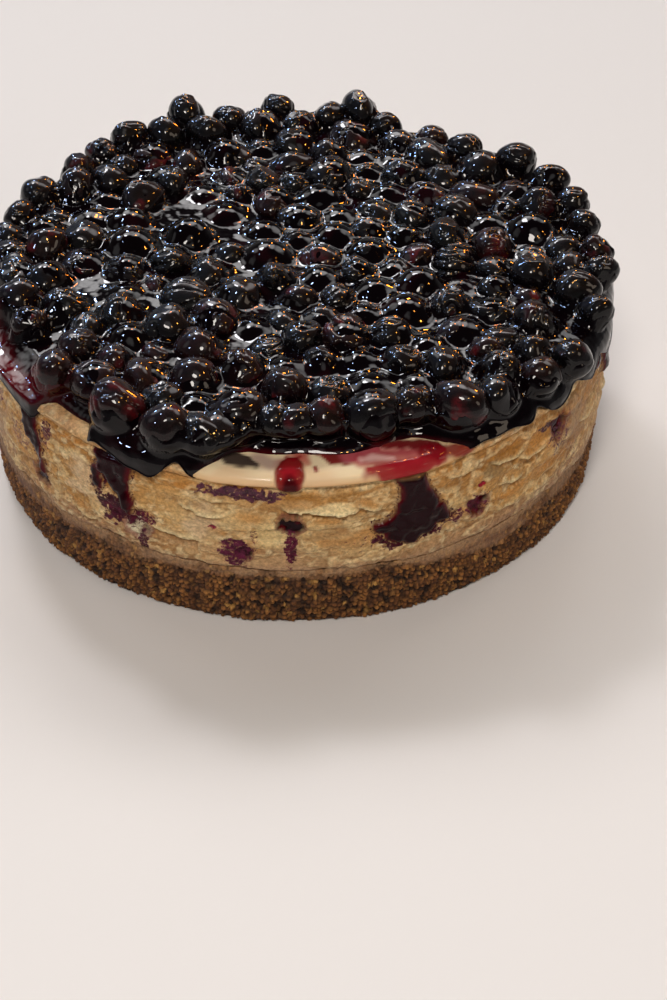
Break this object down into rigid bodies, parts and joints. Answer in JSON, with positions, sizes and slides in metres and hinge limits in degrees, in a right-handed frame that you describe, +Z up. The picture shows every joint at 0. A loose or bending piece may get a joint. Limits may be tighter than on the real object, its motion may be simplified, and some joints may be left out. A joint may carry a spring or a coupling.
{
  "type": "baked cheesecake",
  "caption": "Whole round baked cheesecake on a pressed biscuit-crumb base, topped with a glossy heap of cooked blueberries whose syrup runs over the rim.",
  "frame": {"origin": "centre of the flat underside of the biscuit base, which the cake rests on", "axes": "+Z up through the middle of the cake, -Y towards the front, where the rim is bare of syrup"},
  "size_m": [0.2053, 0.204, 0.0757],
  "materials": {
    "biscuit_crumb": "rough, crumbly pressed biscuit",
    "baked_cheese": "moist baked cheese filling, torn and streaked at the side",
    "berry_syrup": "wet, glossy, near-black berry syrup"
  },
  "bodies": {
    "root": {"biscuit_base": "biscuit_crumb", "baked_filling": "baked_cheese", "berry_compote": "berry_syrup"}
  },
  "joints": []
}
